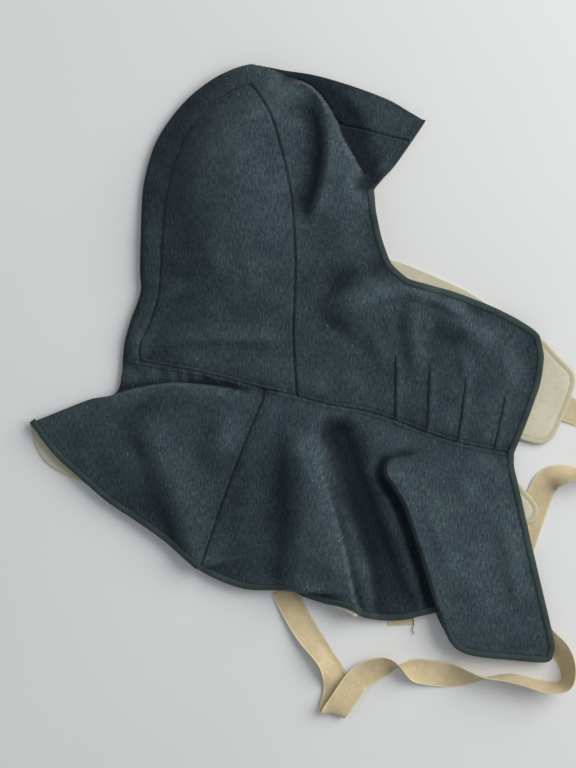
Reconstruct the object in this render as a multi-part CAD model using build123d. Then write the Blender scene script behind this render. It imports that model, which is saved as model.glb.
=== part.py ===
"""A lined cloth hood with a shoulder cape and two tape ties, laid on its left side. Its right
half arches over its left one, and the right front turns up about a line in the cape and the
cheek. Millimetres, +Z up.

+X points to the hood's front, +Y to its crown, and Z is up from the table it lies on. The two
halves are joined along the back, where the crown band and the back of the cape are folded
round."""

from build123d import *
import math
import os

# Cloth, trim and tape
OUTER = 2.0  # woollen outer cloth
LINING = 1.0  # cotton lining
CLOTH = OUTER + LINING
FOLD_WALL = 3.0  # the outer cloth's thickness in plan where it turns under
LINING_MARGIN = 8.0  # how far the folded lining's flat layers stop short of the fold
LINING_GAP = 0.2  # how far the folded lining lies from the outer cloth
BINDING_WIDTH = 6.0
BINDING_PROUD = 0.5  # how far a binding stands over the cloth that it wraps
LEFT_BINDING = CLOTH + 0.2  # its thickness on the left half, under the flaps
BINDING_MARGIN = 10.0  # how far the left half's bindings stop short of the fold, under the right's
FLAP_THICKNESS = 1.7
FLAP_LIFT = CLOTH + 0.3  # the flaps lie on the left half's lining
TAPE_WIDTH = 25.0
TAPE_THICKNESS = 1.0
CORNER_SHARE = 0.45  # the part of a tape's run that its corner's arc takes
ABOVE_ALL = 120.0  # higher than any of it

# Heights of the right half's outer surface
FRONT_HEIGHT = 16.0
CROWN_RISE = 36.0
CROWN_CENTRE, CROWN_SPREAD = (-62.0, 140.0), (105.0, 125.0)
SHOULDER_RISE = 13.0
SHOULDER_CENTRE, SHOULDER_SPREAD = (-75.0, -70.0), (120.0, 95.0)
FOLD_HEIGHT = 3.6  # where the right half meets the left at the back fold
FOLD_RADIUS = 46.0
RIDGE_RISE, RIDGE_WIDTH = 7.0, 17.0
RIDGE = ((24.0, -110.0), (56.0, -243.0))
VALLEY_DROP, VALLEY_WIDTH = 5.5, 21.0
VALLEY = ((68.0, -122.0), (97.0, -255.0))
GRID_STEP, SURFACE_TOLERANCE = 17.0, 1.0

# The right front turns up about this line, at the height of the outer surface
HINGE_TOP, HINGE_FOOT = (91.0, 96.0), (134.0, -249.0)
HINGE_GAP = 1.2
HINGE_BLEND = 62.0  # the width over which the cloth behind the line rises

# Edges of the right half
CROWN_EDGE = [
    (121, 241), (85, 262), (51, 275), (14, 286), (-51, 296), (-108, 270), (-147, 220),
    (-160, 161), (-163, 96), (-171, 46), (-179, 4), (-187, -30),
]
TAIL_EDGE = [(-187, -30), (-212, -36), (-243, -47), (-272, -60)]
REAR_HEM = [
    (-272, -60), (-247, -91), (-222, -114), (-167, -156), (-119, -193), (-87, -214),
    (-51, -225), (-15, -226), (21, -238), (52, -247), (90, -255), (132, -249),
]
FRONT_HEM = [(132, -249), (142, -267), (157, -287), (203, -293), (240, -296)]
CAPE_FRONT_EDGE = [(249, -281), (234, -215), (213, -122), (209, -90)]
CHIN_EDGE = [(209, -90), (229, -37), (238, 5), (238, 19)]
FACE_EDGE = [(238, 19), (215, 41), (168, 63), (121, 77), (99, 84), (85, 101), (77, 122), (70, 153), (69, 172)]
PEAK_EDGE = [(69, 172), (90, 196), (107, 220), (121, 241)]

# Seams, run past the edges that they end at
BAND_SEAM = [
    (150, 210), (107, 220), (79, 227), (36, 242), (0, 266), (-34, 280), (-73, 265),
    (-110, 233), (-131, 183), (-140, 129), (-145, 70), (-163, 18), (-168, -20),
]
SIDE_SEAM = [(-62, 305), (-47, 271), (-32, 239), (-16, 179), (-10, 115), (-11, 33), (-7, -50), (-2, -130)]
NECK_SEAM = [(-205, 12), (-150, -1), (-96, -11), (-42, -25), (27, -42), (90, -57), (152, -79), (209, -90), (262, -97)]
CAPE_SEAM = [(-28, 30), (-42, -38), (-60, -82), (-81, -138), (-106, -208), (-118, -240)]

# Edges of the left half, where they differ from the right's
LEFT_PEAK_EDGE = [(74, 172), (93, 195), (110, 219), (121, 241)]
LEFT_FACE_EDGE = [(216, 26), (190, 50), (153, 75), (112, 93), (88, 105), (80, 128), (75, 153), (74, 172)]
LEFT_FRONT_EDGE = [(178, -200), (192, -160), (198, -90), (216, -30), (216, 26)]
LEFT_HEM = REAR_HEM[:6] + [(-52, -213), (-10, -206), (60, -208), (178, -200)]

RIGHT_OPEN_EDGES = [
    PEAK_EDGE, FACE_EDGE, CHIN_EDGE, CAPE_FRONT_EDGE, (FRONT_HEM[-1], CAPE_FRONT_EDGE[0]), FRONT_HEM, REAR_HEM,
]
LEFT_OPEN_EDGES = [LEFT_PEAK_EDGE, LEFT_FACE_EDGE, LEFT_FRONT_EDGE, LEFT_HEM]

# Inner flaps on the left front edge
THROAT_FLAP = [
    (188, 8), (236, 24), (253, 7), (269, -10), (271, -21), (257, -59), (248, -76),
    (234, -81), (210, -76), (186, -70),
]
TIE_FLAP = [(186, -112), (211, -116), (229, -136), (233, -146), (231, -155), (220, -161), (184, -160)]

# Routes of the tape ties' centre lines
UPPER_TIE = [
    (252, -42, 2.8), (276, -50, 1.2), (298, -62, 0.7), (313, -84, 0.7), (304, -107, 0.7),
    (280, -118, 0.7), (254, -113, 0.7), (237, -123, 0.7), (240, -150, 0.7), (231, -186, 0.7),
    (208, -222, 0.7), (170, -240, 0.7), (134, -238, 0.7), (108, -247, 0.7), (98, -262, 0.7),
]
LOWER_TIE = [
    (218, -142, 3.0), (221, -168, 2.7), (226, -202, 2.6), (238, -240, 0.8), (248, -272, 0.7),
    (266, -294, 0.7), (264, -320, 0.7), (238, -328, 0.7), (212, -316, 0.7), (176, -312, 0.7),
    (138, -314, 0.7), (104, -302, 0.7), (76, -306, 0.7), (56, -322, 0.7), (48, -347, 0.7),
    (28, -360, 0.7), (8, -344, 0.7), (10, -310, 0.7), (2, -277, 0.7), (-12, -248, 0.7),
    (-24, -222, 0.7),
]


def smooth(value):
    """0 below 0, 1 above 1, with no corner between."""
    value = min(max(value, 0.0), 1.0)
    return value * value * (3.0 - 2.0 * value)


def distance(x, y, points):
    """The distance from (x, y) to the line through the points."""
    best = 1e9
    for (ax, ay), (bx, by) in zip(points, points[1:]):
        dx, dy = bx - ax, by - ay
        along = ((x - ax) * dx + (y - ay) * dy) / (dx * dx + dy * dy)
        along = min(max(along, 0.0), 1.0)
        best = min(best, math.hypot(x - ax - along * dx, y - ay - along * dy))
    return best


def bell(x, y, centre, spread):
    return math.exp(-(((x - centre[0]) / spread[0]) ** 2) - ((y - centre[1]) / spread[1]) ** 2)


def behind_hinge(x, y):
    """How far (x, y) lies behind the hinge line."""
    dx, dy = HINGE_FOOT[0] - HINGE_TOP[0], HINGE_FOOT[1] - HINGE_TOP[1]
    return ((x - HINGE_TOP[0]) * dy - (y - HINGE_TOP[1]) * dx) / math.hypot(dx, dy)


def height(x, y):
    """The right half's outer surface: a crown and a shoulder that rise behind the hinge line,
    a ridge and a valley in the cape, and a rounded fall to the fold at the back."""
    rise = CROWN_RISE * bell(x, y, CROWN_CENTRE, CROWN_SPREAD)
    rise += SHOULDER_RISE * bell(x, y, SHOULDER_CENTRE, SHOULDER_SPREAD)
    rise += RIDGE_RISE * math.exp(-((distance(x, y, RIDGE) / RIDGE_WIDTH) ** 2))
    rise -= VALLEY_DROP * math.exp(-((distance(x, y, VALLEY) / VALLEY_WIDTH) ** 2))
    full = FRONT_HEIGHT + rise * smooth(behind_hinge(x, y) / HINGE_BLEND)
    fold = math.sin(math.pi / 2 * min(distance(x, y, CROWN_EDGE + TAIL_EDGE[1:]) / FOLD_RADIUS, 1.0))
    return FOLD_HEIGHT + (full - FOLD_HEIGHT) * fold


def outer_surface():
    """The right half's outer surface over the whole plan, as one smooth face."""
    reach_x, reach_y = 290.0, 312.0
    across, along = round(2 * reach_x / GRID_STEP), round(2 * reach_y / GRID_STEP)
    rows = []
    for j in range(along + 1):
        y = -reach_y + 2 * reach_y * j / along
        xs = [-reach_x + 2 * reach_x * i / across for i in range(across + 1)]
        rows.append([Vector(x, y, height(x, y)) for x in xs])
    return Face.make_surface_from_array_of_points(rows, tol=SURFACE_TOLERANCE, min_deg=3, max_deg=3)


SURFACE = outer_surface()


def plan(*curves):
    """The flat region inside a loop of curves, looking up."""
    face = make_face([edge for curve in curves for edge in curve.edges()]).face()
    return Sketch() + (face if face.normal_at().Z > 0 else -face)


def beside(seam, towards, reach=700.0):
    """All that lies on one side of a seam, in the direction towards."""
    curve = Spline(*seam)
    dx, dy = towards
    far_end = (seam[-1][0] + dx * reach, seam[-1][1] + dy * reach)
    far_start = (seam[0][0] + dx * reach, seam[0][1] + dy * reach)
    return plan(curve, Polyline(seam[-1], far_end, far_start, seam[0]))


def strip(points, width, samples=24):
    """The strip between an edge and the line width to its left, which is its inner side."""
    edge = Spline(*points).edge()
    inner = []
    for i in range(samples + 1):
        at, along = edge.position_at(i / samples), edge.tangent_at(i / samples)
        inner.append(at + Vector(-along.Y, along.X) * width)
    return plan(edge, Line(edge @ 1, inner[-1]), Spline(*inner), Line(inner[0], edge @ 0))


def strips(*edges, width=BINDING_WIDTH):
    """The strips inside a run of edges, with a disc at each corner between them."""
    region = strip(edges[0], width)
    for edge in edges[1:]:
        region += strip(edge, width)
        region += Pos(*edge[0]) * Circle(width)
    return region


def over(region, top, thickness):
    """A layer of the right half over a region, from top below its outer surface."""
    layer = extrude(SURFACE.moved(Location((0, 0, -top))), amount=thickness, dir=(0, 0, -1))
    return extrude(region, amount=ABOVE_ALL) & layer


def flat(region, low, thickness):
    """A flat layer of the left half over a region."""
    return extrude(region.moved(Location((0, 0, low))), amount=thickness)


def between(region, margin):
    """All from margin above the table to margin below the right half's outer surface."""
    under = extrude(SURFACE.moved(Location((0, 0, -margin))), amount=ABOVE_ALL, dir=(0, 0, -1))
    return extrude(region.moved(Location((0, 0, margin))), amount=ABOVE_ALL) & under


def folded(region, fold):
    """Outer cloth folded round the back: over, down along the fold, and under."""
    return between(region, 0) - between(region - strips(*fold, width=FOLD_WALL), OUTER)


def folded_lining(region, fold):
    """The lining inside the fold, whose two layers lie apart."""
    region = region - strips(*fold, width=LINING_MARGIN)
    layers = over(region, OUTER + LINING_GAP, LINING), flat(region, OUTER + LINING_GAP, LINING)
    return Compound(children=[solid for layer in layers for solid in layer.solids()])


def tape(route):
    """A flat tape along a route of straight runs and arcs, and its shortest bend."""
    points = [Vector(*point) for point in route]
    radii = []
    for before, at, after in zip(points, points[1:], points[2:]):
        turn = math.radians((at - before).get_angle(after - at))
        shorter = min((at - before).length, (after - at).length)
        radii.append(CORNER_SHARE * shorter / math.tan(turn / 2))
    path = FilletPolyline(*points, radius=radii)
    start = path % 0
    section = Plane(origin=path @ 0, x_dir=Vector(-start.Y, start.X, 0), z_dir=start)
    ribbon = sweep(section * Rectangle(TAPE_WIDTH, TAPE_THICKNESS), path=path)
    whole = TAPE_WIDTH * TAPE_THICKNESS * path.length
    print(f"tape {path.length:.0f} mm, tightest bend {min(radii):.1f}, volume {ribbon.volume / whole:.3f}")
    print("radii", [round(radius, 1) for radius in radii])
    return ribbon


# The two halves in plan
right_plan = plan(
    Spline(*CROWN_EDGE), Spline(*TAIL_EDGE), Spline(*REAR_HEM), Spline(*FRONT_HEM),
    Line(FRONT_HEM[-1], CAPE_FRONT_EDGE[0]), Spline(*CAPE_FRONT_EDGE), Spline(*CHIN_EDGE),
    Spline(*FACE_EDGE), Spline(*PEAK_EDGE),
)
left_plan = plan(
    Spline(*CROWN_EDGE), Spline(*TAIL_EDGE), Spline(*LEFT_HEM), Spline(*LEFT_FRONT_EDGE),
    Spline(*LEFT_FACE_EDGE), Spline(*LEFT_PEAK_EDGE),
)

# Sides of the seams and of the hinge line
above_neck = beside(NECK_SEAM, (0, 1))
at_band = beside(BAND_SEAM, (-0.6, 0.8))
ahead_of_side = beside(SIDE_SEAM, (1, 0))
at_cape_back = beside(CAPE_SEAM, (-1, 0))
hinge = Vector(HINGE_FOOT[0] - HINGE_TOP[0], HINGE_FOOT[1] - HINGE_TOP[1]).normalized()
forward = Vector(-hinge.Y, hinge.X)
hinge_ends = [Vector(*HINGE_TOP) - hinge * 40, Vector(*HINGE_FOOT) + hinge * 90]
past_hinge = plan(Polyline(*hinge_ends, *[end + forward * 400 for end in reversed(hinge_ends)], close=True))
turning = past_hinge.moved(Location(forward * HINGE_GAP))

# The cloth inside the bindings
right_cloth = right_plan - strips(*RIGHT_OPEN_EDGES)
left_cloth = left_plan - strips(*LEFT_OPEN_EDGES)
right_hood, right_cape = right_cloth & above_neck, right_cloth - above_neck
left_hood, left_cape = left_cloth & above_neck, left_cloth - above_neck


def crown_and_back():
    """The pieces that run round the back: the crown band, the back of the cape, their linings."""
    fold = (CROWN_EDGE, TAIL_EDGE)
    for name, region in (("crown", right_hood & at_band), ("cape_back", right_cape & at_cape_back)):
        yield f"{name}_panel", folded(region, fold)
        yield f"{name}_lining", folded_lining(region, fold)


def right_half():
    side, cape = right_hood - at_band, right_cape - at_cape_back
    yield "right_back_side_panel", over(side - ahead_of_side, 0, OUTER)
    yield "right_cheek_panel", over((side & ahead_of_side) - past_hinge, 0, OUTER)
    yield "right_chin_panel", over(side & turning, 0, OUTER)
    yield "cape_right_side_panel", over(cape - past_hinge, 0, OUTER)
    yield "cape_right_front_panel", over(cape & turning, 0, OUTER)
    yield "right_hood_lining", over(side - past_hinge, OUTER, LINING)
    yield "right_cape_lining", over(cape - past_hinge, OUTER, LINING)
    yield "right_front_lining", over(right_cloth & turning, OUTER, LINING)


def left_half():
    side, cape = left_hood - at_band, left_cape - at_cape_back
    yield "left_back_side_panel", flat(side - ahead_of_side, 0, OUTER)
    yield "left_front_side_panel", flat(side & ahead_of_side, 0, OUTER)
    yield "cape_left_panel", flat(cape, 0, OUTER)
    yield "left_hood_lining", flat(side, OUTER, LINING)
    yield "left_cape_lining", flat(cape, OUTER, LINING)


def bindings():
    def bound(region):
        return over(region & right_plan, -BINDING_PROUD, CLOTH + 2 * BINDING_PROUD)

    yield "right_face_binding", bound(strips(PEAK_EDGE, FACE_EDGE) - past_hinge)
    yield "right_hem_binding", bound(strip(REAR_HEM, BINDING_WIDTH) - past_hinge)
    yield "right_front_binding", bound(strips(*RIGHT_OPEN_EDGES) & turning)
    front_strip = strip(LEFT_FRONT_EDGE, BINDING_WIDTH)
    taken = front_strip + strips(CROWN_EDGE, TAIL_EDGE, width=BINDING_MARGIN) + (right_cape & at_cape_back)
    for name, region in (
        ("left_face_binding", strips(LEFT_PEAK_EDGE, LEFT_FACE_EDGE) - taken),
        ("left_front_binding", front_strip),
        ("left_hem_binding", strip(LEFT_HEM, BINDING_WIDTH) - taken),
    ):
        yield name, flat(region & left_plan, 0, LEFT_BINDING)


def flaps_and_ties():
    yield "throat_flap", flat(plan(Spline(*THROAT_FLAP, THROAT_FLAP[0])), FLAP_LIFT, FLAP_THICKNESS)
    yield "tie_flap", flat(plan(Spline(*TIE_FLAP, TIE_FLAP[0])), FLAP_LIFT, FLAP_THICKNESS)
    yield "upper_tie", tape(UPPER_TIE)
    yield "lower_tie", tape(LOWER_TIE)


os.makedirs("parts", exist_ok=True)
for group in (crown_and_back, right_half, left_half, bindings, flaps_and_ties):
    for name, shape in group():
        solids = shape.solids()
        export_step(solids[0] if len(solids) == 1 else Compound(children=list(solids)), f"parts/{name}.step")
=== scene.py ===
"""The looks of a lined cloth hood with a shoulder cape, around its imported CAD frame.

Plan places are in millimetres in the frame's own X and Y. The right half lies over the left one,
so its cloth is a surface over the plan, and the crown band and the back of the cape are folded
round to the left half along the back."""

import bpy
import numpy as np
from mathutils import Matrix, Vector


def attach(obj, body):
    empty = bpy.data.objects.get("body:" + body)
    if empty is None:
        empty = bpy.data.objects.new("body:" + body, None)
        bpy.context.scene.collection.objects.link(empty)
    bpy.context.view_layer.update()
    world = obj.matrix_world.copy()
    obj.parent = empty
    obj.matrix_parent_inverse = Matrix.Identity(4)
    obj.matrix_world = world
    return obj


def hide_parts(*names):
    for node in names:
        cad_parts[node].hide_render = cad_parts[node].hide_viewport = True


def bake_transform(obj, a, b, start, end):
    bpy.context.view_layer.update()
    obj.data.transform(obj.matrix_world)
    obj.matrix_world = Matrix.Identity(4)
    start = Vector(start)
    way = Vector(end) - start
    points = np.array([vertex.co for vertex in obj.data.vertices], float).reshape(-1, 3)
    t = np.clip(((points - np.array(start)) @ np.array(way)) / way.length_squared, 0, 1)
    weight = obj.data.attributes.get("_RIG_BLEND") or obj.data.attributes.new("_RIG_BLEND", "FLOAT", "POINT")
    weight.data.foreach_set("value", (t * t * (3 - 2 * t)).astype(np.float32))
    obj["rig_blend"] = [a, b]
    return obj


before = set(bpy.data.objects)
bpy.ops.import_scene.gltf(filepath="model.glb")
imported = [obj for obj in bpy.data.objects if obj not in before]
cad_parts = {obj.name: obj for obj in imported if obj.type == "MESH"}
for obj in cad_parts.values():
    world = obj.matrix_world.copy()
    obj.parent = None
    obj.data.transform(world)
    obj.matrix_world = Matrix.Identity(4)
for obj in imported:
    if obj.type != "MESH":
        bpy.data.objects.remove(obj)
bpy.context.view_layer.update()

import copy
import math

import bmesh
import bpy
import numpy as np
from mathutils import Vector, noise
from mathutils.geometry import delaunay_2d_cdt

MM = 0.001
OUTER = 1.8  # thickness of the outer cloth
LINING = 0.9
SPACING = 3.0  # of the cloth's mesh
FOLD_HEIGHT = 6.0  # where the right half turns under at the back
ABOVE_TABLE = 0.1
LEFT_LINING_BASE = 0.15 + OUTER + LINING  # lowest top face of the left half's lining
CLOTH_GAP, LINING_GAP = 0.3, 0.4  # from a lining to the outer cloth over it, and to the lining below
BINDING_WIDTH = 5.6
TAPE_WIDTH, TAPE_THICKNESS, SELVEDGE = 25.0, 0.9, 1.3
HINGE_TOP, HINGE_FOOT = (91.0, 96.0), (134.0, -249.0)
HINGE_SOFTNESS = 11.0  # the cloth bends over this far on each side of the hinge line

# ---------------------------------------------------------------- lines in plan, in mm


def reach_along(line):
    """How far along a line each of its points is."""
    return np.concatenate([[0], np.cumsum(np.linalg.norm(np.diff(line, axis=0), axis=1))])


def left_of(line):
    """The unit vector to a plan line's left at each of its points."""
    along = np.gradient(line, axis=0)
    return np.column_stack([-along[:, 1], along[:, 0]]) / np.linalg.norm(along, axis=1)[:, None]


def offset_line(line, offset):
    """The line beside a plan line, to its left by offset."""
    return line + left_of(line) * offset


def smooth_line(points, spacing=SPACING):
    """Points at an even spacing along a Catmull-Rom curve through the given ones."""
    p = [np.array(q, float) for q in points]
    p = [2 * p[0] - p[1]] + p + [2 * p[-1] - p[-2]]
    dense = []
    for a, b, c, d in zip(p, p[1:], p[2:], p[3:]):
        for t in np.linspace(0, 1, 24, endpoint=False):
            square, cube = 2 * a - 5 * b + 4 * c - d, 3 * b - a - 3 * c + d
            dense.append(0.5 * (2 * b + (c - a) * t + square * t**2 + cube * t**3))
    dense = np.array(dense + [p[-2]])
    reach = reach_along(dense)
    at = np.linspace(0, reach[-1], max(2, round(reach[-1] / spacing) + 1))
    return np.column_stack([np.interp(at, reach, dense[:, k]) for k in range(dense.shape[1])])


def stretch(line, start, end):
    """The part of a line between the points nearest to start and end, which become its ends."""
    i, j = (int(np.argmin(np.linalg.norm(line - q, axis=1))) for q in (start, end))
    part = line[i : j + 1] if i <= j else line[j : i + 1][::-1]
    part = part.copy()
    part[0], part[-1] = start, end
    return part


def loop(*turns, end=None):
    """A closed outline from its corners and the lines between them, in turn: a corner, the line
    that leads on from it, the next corner, and so on. The last line leads to the first corner, or
    stops at end, just short of it."""
    corners, lines = turns[::2], turns[1::2]
    ends = (*corners[1:], corners[0] if end is None else end)
    return np.vstack([stretch(*part)[:-1] for part in zip(lines, corners, ends)])


CROWN = smooth_line([
    (121, 241), (104, 251), (85, 262), (51, 275), (14, 286), (-16, 291), (-51, 296), (-82, 287),
    (-108, 270), (-129, 248), (-147, 220), (-157, 189), (-161, 161), (-163, 96), (-162, 74),
    (-166, 59), (-172, 43), (-178, 22), (-180, 5),
])
TAIL = smooth_line([
    (-180, 5), (-181, -10), (-187, -30), (-212, -36), (-238, -46), (-263, -56), (-272, -59),
])
HEM = smooth_line([
    (-272, -59), (-265, -68), (-247, -91), (-222, -114), (-194, -138), (-167, -156), (-140, -175),
    (-119, -193), (-104, -205), (-87, -214), (-69, -221), (-51, -225), (-15, -226), (1, -232),
    (21, -238), (39, -241), (51, -245), (57, -251), (72, -255), (85, -256), (102, -255), (118, -251),
    (132, -248),
])
FRONT_HEM = smooth_line([
    (132, -248), (136, -257), (141, -267), (147, -278), (157, -286), (175, -291), (203, -294),
    (236, -297), (245, -295), (248, -289),
])
CAPE_FRONT = smooth_line([
    (248, -289), (249, -281), (245, -261), (234, -215), (223, -167), (213, -122), (209, -104), (209, -90),
])
CHIN = smooth_line([(209, -90), (220, -62), (229, -37), (235, -18), (238, 5), (236, 19)])
FACE = smooth_line([
    (236, 19), (232, 29), (215, 41), (192, 53), (168, 63), (145, 71), (121, 77), (106, 81),
    (99, 85), (90, 94), (85, 101), (77, 122), (72, 142), (70, 153), (69, 172),
])
PEAK = smooth_line([(69, 172), (79, 184), (90, 196), (107, 220), (121, 241)])
NECK = smooth_line([
    (-180, 5), (-150, -1), (-122, -6), (-96, -11), (-69, -18), (-42, -25), (-3, -34), (27, -42),
    (58, -47), (90, -57), (121, -69), (152, -79), (184, -86), (209, -90),
])
BAND = smooth_line([
    (107, 220), (79, 227), (57, 233), (37, 238), (29, 247), (20, 262), (5, 277), (-14, 284),
    (-34, 283), (-53, 274), (-73, 266), (-90, 254), (-110, 233), (-123, 209), (-131, 183),
    (-137, 157), (-140, 129), (-142, 96), (-144, 70), (-150, 48), (-156, 33), (-163, 18), (-163, 2),
])
SIDE = smooth_line([
    (-53, 274), (-44, 262), (-32, 239), (-23, 209), (-16, 179), (-12, 153), (-9, 96), (-11, 33),
    (-9, -8), (-7, -32),
])
CAPE_SEAM = smooth_line([(-39, -26), (-42, -38), (-60, -82), (-81, -138), (-92, -170), (-104, -205)])

# Folds: the crest above the peak, the soft one on the crown, the cape's roll over the neck, the
# front's, and the ridge and the valley between them
BULGE = smooth_line([
    (66, 182), (57, 192), (47, 209), (38, 226), (33, 240), (20, 262), (5, 277), (-14, 284),
])
SOFT_FOLD = smooth_line([(-10, 274), (2, 262), (10, 243), (14, 213), (11, 183), (4, 158), (-5, 128)])
OVERLAP = smooth_line([
    (-188, -31), (-157, -24), (-132, -21), (-103, -22), (-78, -25), (-60, -29), (-43, -34),
])
FRONT_FOLD = smooth_line([
    (101, -92), (84, -97), (80, -109), (88, -122), (99, -141), (108, -167), (118, -197), (129, -233),
    (135, -250),
])
RIDGE = smooth_line([(4, -62), (12, -97), (24, -137), (34, -172), (42, -207), (48, -235), (53, -252)])
VALLEY = smooth_line([(22, -48), (30, -72), (42, -107), (55, -142), (70, -182), (83, -227), (88, -252)])
PLEAT_ENDS = (
    ((90, 13), (90, -54)), ((124, 4), (121, -66)), ((160, -10), (152, -77)), ((200, -28), (189, -84)),
)
PLEATS = [smooth_line(ends) for ends in PLEAT_ENDS]
BACK = np.vstack([CROWN[:-1], TAIL])

TIP, PEAK_SEAM, NECK_BACK, BAND_FOOT = (121, 241), (107, 220), (-180, 5), (-163, 2)
SIDE_TOP, SIDE_FOOT, NECK_FRONT = (-53, 274), (-7, -32), (209, -90)
CHIN_CORNER, NOTCH = (236, 19), (69, 172)
CAPE_SEAM_TOP, CAPE_SEAM_FOOT, TAIL_TIP = (-39, -26), (-104, -205), (-272, -59)
FOLD_FOOT, FRONT_CORNER = (132, -248), (248, -289)

BAND_LOOP = loop(PEAK_SEAM, PEAK, TIP, CROWN, NECK_BACK, NECK, BAND_FOOT, BAND)
BACK_SIDE_LOOP = loop(SIDE_TOP, BAND, BAND_FOOT, NECK, SIDE_FOOT, SIDE)
FRONT_SIDE_LOOP = loop(
    PEAK_SEAM, BAND, SIDE_TOP, SIDE, SIDE_FOOT, NECK, NECK_FRONT, CHIN, CHIN_CORNER, FACE, NOTCH,
    PEAK,
)
CAPE_BACK_LOOP = loop(NECK_BACK, TAIL, TAIL_TIP, HEM, CAPE_SEAM_FOOT, CAPE_SEAM, CAPE_SEAM_TOP, NECK)
CAPE_RIGHT_LOOP = loop(
    CAPE_SEAM_TOP, CAPE_SEAM, CAPE_SEAM_FOOT, HEM, FOLD_FOOT, FRONT_HEM, FRONT_CORNER, CAPE_FRONT,
    NECK_FRONT, NECK,
)

# Left half, which lies flat: its edges stand a little out at the face and at the tail
LEFT_FACE = smooth_line([
    (214, 24), (200, 44), (190, 54), (167, 69), (153, 76), (133, 85), (112, 94), (96, 100), (84, 105),
    (75, 126), (69, 150), (66, 172), (75, 187), (86, 200), (103, 222), (119, 241),
])
LEFT_FRONT = smooth_line([(178, -200), (190, -160), (198, -90), (212, -30), (214, 24)])
LEFT_HEM = smooth_line([
    (-272, -59), (-272, -66), (-267, -82), (-256, -99), (-238, -111), (-217, -121), (-190, -138),
    (-167, -154), (-119, -188), (-104, -196), (-52, -210), (-10, -206), (60, -208), (178, -200),
])
LEFT_CAPE_SEAM_FOOT, LEFT_NECK_FRONT, LEFT_CHIN = (-102, -197), (199, -88), (214, 24)
LEFT_PEAK_SEAM, LEFT_FOOT = (103, 222), (178, -200)
LEFT_FRONT_SIDE_LOOP = loop(
    PEAK_SEAM, BAND, SIDE_TOP, SIDE, SIDE_FOOT, NECK, LEFT_NECK_FRONT, LEFT_FRONT, LEFT_CHIN,
    LEFT_FACE, end=LEFT_PEAK_SEAM,
)
LEFT_CAPE_LOOP = loop(
    CAPE_SEAM_TOP, CAPE_SEAM, LEFT_CAPE_SEAM_FOOT, LEFT_HEM, LEFT_FOOT, LEFT_FRONT,
    LEFT_NECK_FRONT, NECK,
)
LEFT_TAIL_LOOP = loop(
    NECK_BACK, TAIL, TAIL_TIP, LEFT_HEM, LEFT_CAPE_SEAM_FOOT, CAPE_SEAM, CAPE_SEAM_TOP, NECK,
)
THROAT_FLAP = smooth_line([
    (190, 6), (215, 22), (236, 24), (245, 17), (254, 7), (262, -1), (269, -9), (271, -16), (270, -24),
    (264, -42), (257, -59), (252, -70), (246, -77), (237, -81), (225, -79), (212, -75), (190, -70),
    (187, -32), (190, 6),
])[:-1]
TIE_FLAP = smooth_line([
    (190, -112), (205, -114), (213, -118), (221, -127), (229, -136), (233, -142), (234, -149),
    (231, -156), (224, -161), (205, -163), (190, -160), (186, -136), (190, -112),
])[:-1]

# ---------------------------------------------------------------- the right half's surface


def step(t):
    """From 0 to 1, smoothly, as t goes from 0 to 1."""
    t = np.clip(t, 0, 1)
    return t * t * (3 - 2 * t)


def nearest(p, line):
    """For each of p: the distance to a line, signed and positive to its left, and how far along
    the line its nearest point is."""
    best, side, along, length = np.full(len(p), 1e9), np.zeros(len(p)), np.zeros(len(p)), 0.0
    for a, b in zip(line[:-1], line[1:]):
        e = b - a
        run = np.linalg.norm(e)
        t = np.clip((p - a) @ e / run**2, 0, 1)
        q = p - a - t[:, None] * e
        d = np.hypot(q[:, 0], q[:, 1])
        near = d < best
        best[near], along[near] = d[near], length + t[near] * run
        side[near] = (e[0] * q[:, 1] - e[1] * q[:, 0])[near]
        length += run
    return np.where(side < 0, -best, best), along, length


def distance(p, line):
    return np.abs(nearest(p, line)[0])


def bell(p, centre, spread):
    """1 at a centre, and falling softly away within spread."""
    return np.exp(-(((p - centre) / spread) ** 2).sum(axis=1))


def hump(distance, width):
    """1 on a line, and falling softly away within width of it."""
    return np.exp(-((distance / width) ** 2))


def cloth_noise(p, scale, seed):
    """Soft noise of about -1 to 1 with waves of about scale mm."""
    return np.array([noise.fractal(Vector((x / scale, y / scale, seed)), 1.0, 2.0, 2) for x, y in p])


def fold_rise(d, radius):
    """From 0 at a fold to 1 at radius, as a quarter circle."""
    return np.sqrt(np.clip(1 - (1 - np.clip(d / radius, 0, 1)) ** 2, 0, 1))


def broad_shape(p):
    """The crown, shoulder and chin, rounded down to the fold at the back. Over the crown's back
    the cloth climbs evenly, and lower down it turns over close to the fold."""
    back = distance(p, BACK)
    full = 16 + 36 * bell(p, (-62, 158), (74, 104)) + 12 * bell(p, (-80, -75), (110, 80))
    full += 7 * bell(p, (165, -12), (60, 45)) + 3 * bell(p, (60, 30), (60, 60))
    full += 5.5 * bell(p, (80, -170), (110, 90)) - 6 * bell(p, (92, 232), (36, 40))
    round_over = 0.60 * fold_rise(back, 17) + 0.40 * step((back - 20) / 58)
    climb = 0.20 * fold_rise(back, 9) + 0.80 * np.clip((back - 9) / 45, 0, 1) ** 0.95
    at_crown = step((p[:, 1] - 120) / 55) * step((30 - p[:, 0]) / 60)
    rounded = round_over + (climb - round_over) * at_crown
    return FOLD_HEIGHT + (full - FOLD_HEIGHT) * rounded


def crest(p, line, rise, steep, gentle, start=30.0, end=30.0):
    """A fold along a line, steep on the line's right and gentle on its left, that starts and
    ends softly."""
    d, along, length = nearest(p, line)
    shape = np.where(d < 0, step(1 + d / steep), hump(d, gentle))
    return rise * shape * step(along / start + 0.02) * step((length - along) / end + 0.02)


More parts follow.
